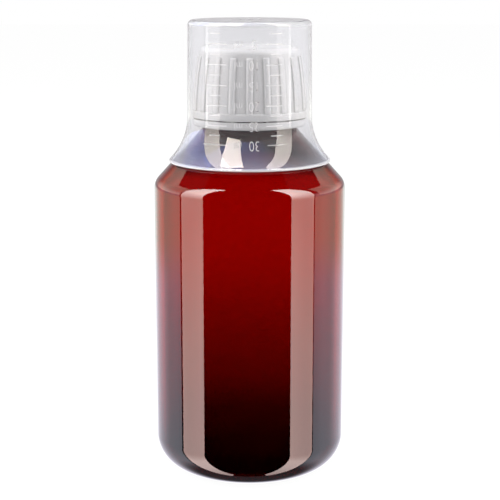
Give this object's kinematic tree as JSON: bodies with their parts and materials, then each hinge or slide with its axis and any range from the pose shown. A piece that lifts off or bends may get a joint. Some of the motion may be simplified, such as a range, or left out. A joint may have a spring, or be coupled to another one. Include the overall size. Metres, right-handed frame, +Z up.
{
  "type": "glass bottle with measuring cup",
  "caption": "Round amber glass syrup bottle with a ribbed white screw cap on a tamper band and a clear flared measuring cup set over the cap.",
  "frame": {"origin": "centre of the ring that the bottle stands on", "axes": "+Z up along the bottle's axis, through the mouth; -Y faces the viewer of the picture, +X is to the right"},
  "size_m": [0.0546, 0.0546, 0.1302],
  "materials": {
    "amber_glass": "clear amber-red glass, smooth and glossy",
    "white_plastic": "moulded white plastic, satin gloss",
    "seal_foam": "soft white foamed disc, matt",
    "clear_plastic": "clear moulded plastic, glossy"
  },
  "bodies": {
    "bottle": {"bottle": "amber_glass"},
    "tamper_band": {"tamper_band": "white_plastic"},
    "sealing_disc": {"sealing_disc": "seal_foam"},
    "screw_cap": {"screw_cap": "white_plastic"},
    "measuring_cup": {"measuring_cup": "clear_plastic"}
  },
  "joints": [
    {"name": "band_turn", "type": "hinge", "parent": "bottle", "child": "tamper_band", "pos_m": [0, 0, 0.1016], "axis": [0, 0, 1], "continuous": true},
    {"name": "cap_rise", "type": "slide", "parent": "bottle", "child": "sealing_disc", "axis": [0, 0, 1], "range_m": [0, 0.0191]},
    {"name": "cap_turn", "type": "hinge", "parent": "sealing_disc", "child": "screw_cap", "pos_m": [0, 0, 0.112], "axis": [0, 0, 1], "range_deg": [0, 2160]},
    {"name": "cup_lift", "type": "slide", "parent": "screw_cap", "child": "measuring_cup", "axis": [0, 0, 1], "range_m": [0, 0.045]}
  ],
  "couplings": [
    {"joint": "cap_rise", "follows": "cap_turn", "m_per_rad": 0.00050611}
  ]
}
